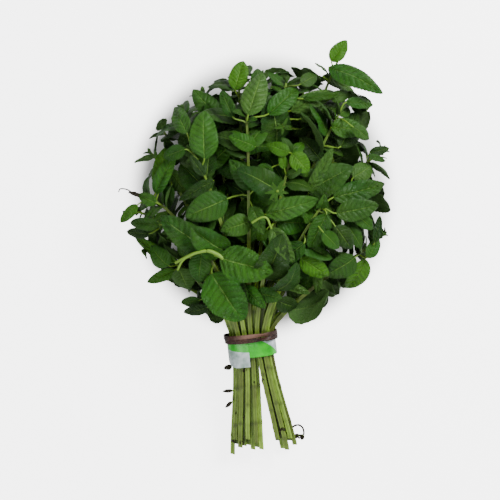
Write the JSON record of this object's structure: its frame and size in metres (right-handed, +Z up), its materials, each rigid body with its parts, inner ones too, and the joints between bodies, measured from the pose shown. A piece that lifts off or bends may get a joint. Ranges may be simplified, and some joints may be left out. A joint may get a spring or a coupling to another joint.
{
  "type": "herb bunch",
  "caption": "Bunch of leafy mint sprigs lying on its side, square stems gathered near the cut ends by a doubled elastic band over a plain wrapped paper label.",
  "frame": {"origin": "middle of the bounding box in plan, at the level of the table the bunch lies on", "axes": "+Y from the cut ends towards the leafy head, +Z up from the table, +X to the right seen from above with the head away"},
  "size_m": [0.1948, 0.2992, 0.0726],
  "materials": {
    "mint": "soft satin green leaf, stands in for living leaf and stem",
    "rubber": "dark brown elastic, soft sheen",
    "label": "coated paper, green field with silver-grey corners, no print"
  },
  "bodies": {
    "root": {"mint_stem_01": "mint", "mint_stem_02": "mint", "mint_stem_03": "mint", "mint_stem_04": "mint", "mint_stem_05": "mint", "mint_stem_06": "mint", "mint_stem_07": "mint", "mint_stem_08": "mint", "mint_stem_09": "mint", "mint_stem_10": "mint", "mint_stem_11": "mint", "mint_stem_12": "mint", "mint_stem_13": "mint", "mint_stem_14": "mint", "mint_stem_15": "mint", "mint_stem_16": "mint", "mint_stem_17": "mint", "mint_stem_18": "mint", "mint_stem_19": "mint", "mint_stem_20": "mint", "mint_stem_21": "mint", "mint_stem_22": "mint", "mint_stem_23": "mint", "mint_stem_24": "mint", "mint_stem_25": "mint", "mint_stem_26": "mint", "mint_stem_27": "mint", "mint_stem_28": "mint", "mint_stem_29": "mint", "rubber_band": "rubber", "label": "label"}
  },
  "joints": []
}
